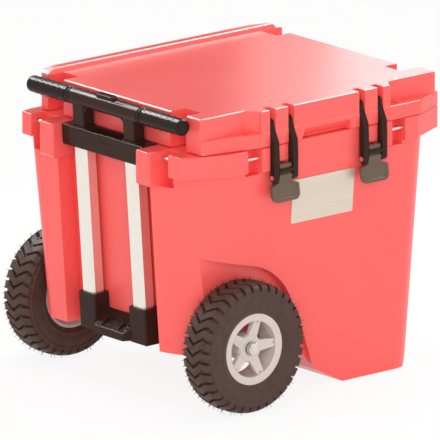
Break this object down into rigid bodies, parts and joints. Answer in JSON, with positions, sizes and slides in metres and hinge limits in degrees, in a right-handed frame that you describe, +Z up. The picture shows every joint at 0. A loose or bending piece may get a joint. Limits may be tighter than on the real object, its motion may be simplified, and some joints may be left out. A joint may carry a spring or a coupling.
{
  "type": "wheeled cooler",
  "caption": "Hard-sided cooler box with hinged lid, two over-centre latches, telescoping pull handle and lugged wheels at one end.",
  "frame": {"origin": "middle of the overall box on the floor", "axes": "+X along the length away from the pull handle, +Y towards the lid hinge with the latches at -Y, +Z up"},
  "size_m": [0.594, 0.546, 0.5285],
  "materials": {
    "coral": "semi-gloss rotomoulded polyethylene",
    "black": "satin black moulding",
    "grey": "satin grey-brown moulding",
    "steel": "plain stainless steel",
    "alu": "satin anodised",
    "rubber": "soft rubber",
    "tyre": "matt tyre rubber",
    "rim": "light grey moulding"
  },
  "bodies": {
    "tub": {"tub": "coral", "corner_bands": "coral", "handle_lugs": "coral", "latch_keepers": "coral", "name_plate": "alu", "end_rods": "steel", "lock_rods": "steel", "hinge_rod": "steel", "tube_guide": "black", "guide_screws": "black", "step_base": "black", "base_screws": "black", "fixed_tube_back": "alu", "fixed_tube_front": "alu", "axle": "steel", "axle_nuts": "steel", "axle_washers": "steel", "axle_spacers": "steel", "axle_clamps": "black", "clamp_screws": "steel", "drain_bush": "black"},
    "lid": {"lid": "coral", "lid_seal": "rubber", "latch_pins": "steel"},
    "yoke_near": {"latch_yoke_near": "black", "lever_pin_near": "steel"},
    "lever_near": {"latch_lever_near": "grey"},
    "yoke_far": {"latch_yoke_far": "black", "lever_pin_far": "steel"},
    "lever_far": {"latch_lever_far": "grey"},
    "handle": {"handle_frame": "black", "grip_back": "rubber", "grip_front": "rubber", "slide_tube_back": "alu", "slide_tube_front": "alu", "slide_shoe_back": "black", "slide_shoe_front": "black"},
    "button": {"release_button": "black", "release_rods": "steel"},
    "wheel_back": {"tyre_back": "tyre", "rim_back": "rim", "bearings_back": "steel"},
    "wheel_front": {"tyre_front": "tyre", "rim_front": "rim", "bearings_front": "steel"},
    "drain": {"drain_plug": "black", "drain_seal": "rubber"}
  },
  "joints": [
    {"name": "lid_hinge", "type": "hinge", "parent": "tub", "child": "lid", "pos_m": [0.015, 0.222, 0.446], "axis": [-1, 0, 0], "range_deg": [0, 95]},
    {"name": "yoke_near_swing", "type": "hinge", "parent": "lid", "child": "yoke_near", "pos_m": [-0.085, -0.235, 0.494], "axis": [-1, 0, 0], "range_deg": [0, 110]},
    {"name": "lever_near_swing", "type": "hinge", "parent": "yoke_near", "child": "lever_near", "pos_m": [-0.085, -0.2517, 0.402], "axis": [-1, 0, 0], "range_deg": [0, 110]},
    {"name": "yoke_far_swing", "type": "hinge", "parent": "lid", "child": "yoke_far", "pos_m": [0.115, -0.235, 0.494], "axis": [-1, 0, 0], "range_deg": [0, 110]},
    {"name": "lever_far_swing", "type": "hinge", "parent": "yoke_far", "child": "lever_far", "pos_m": [0.115, -0.2517, 0.402], "axis": [-1, 0, 0], "range_deg": [0, 110]},
    {"name": "handle_slide", "type": "slide", "parent": "tub", "child": "handle", "axis": [-0.07, 0, 0.9975], "range_m": [0, 0.26]},
    {"name": "button_press", "type": "slide", "parent": "handle", "child": "button", "axis": [0.07, 0, -0.9975], "range_m": [0, 0.003], "stiffness_N_per_m": 900},
    {"name": "wheel_back_spin", "type": "hinge", "parent": "tub", "child": "wheel_back", "pos_m": [-0.1655, 0.24, 0.1143], "axis": [0, 1, 0], "continuous": true},
    {"name": "wheel_front_spin", "type": "hinge", "parent": "tub", "child": "wheel_front", "pos_m": [-0.1655, -0.24, 0.1143], "axis": [0, 1, 0], "continuous": true},
    {"name": "drain_turn", "type": "hinge", "parent": "tub", "child": "drain", "pos_m": [0.25434, 0, 0.165], "axis": [1, 0, 0], "range_deg": [0, 90]}
  ]
}
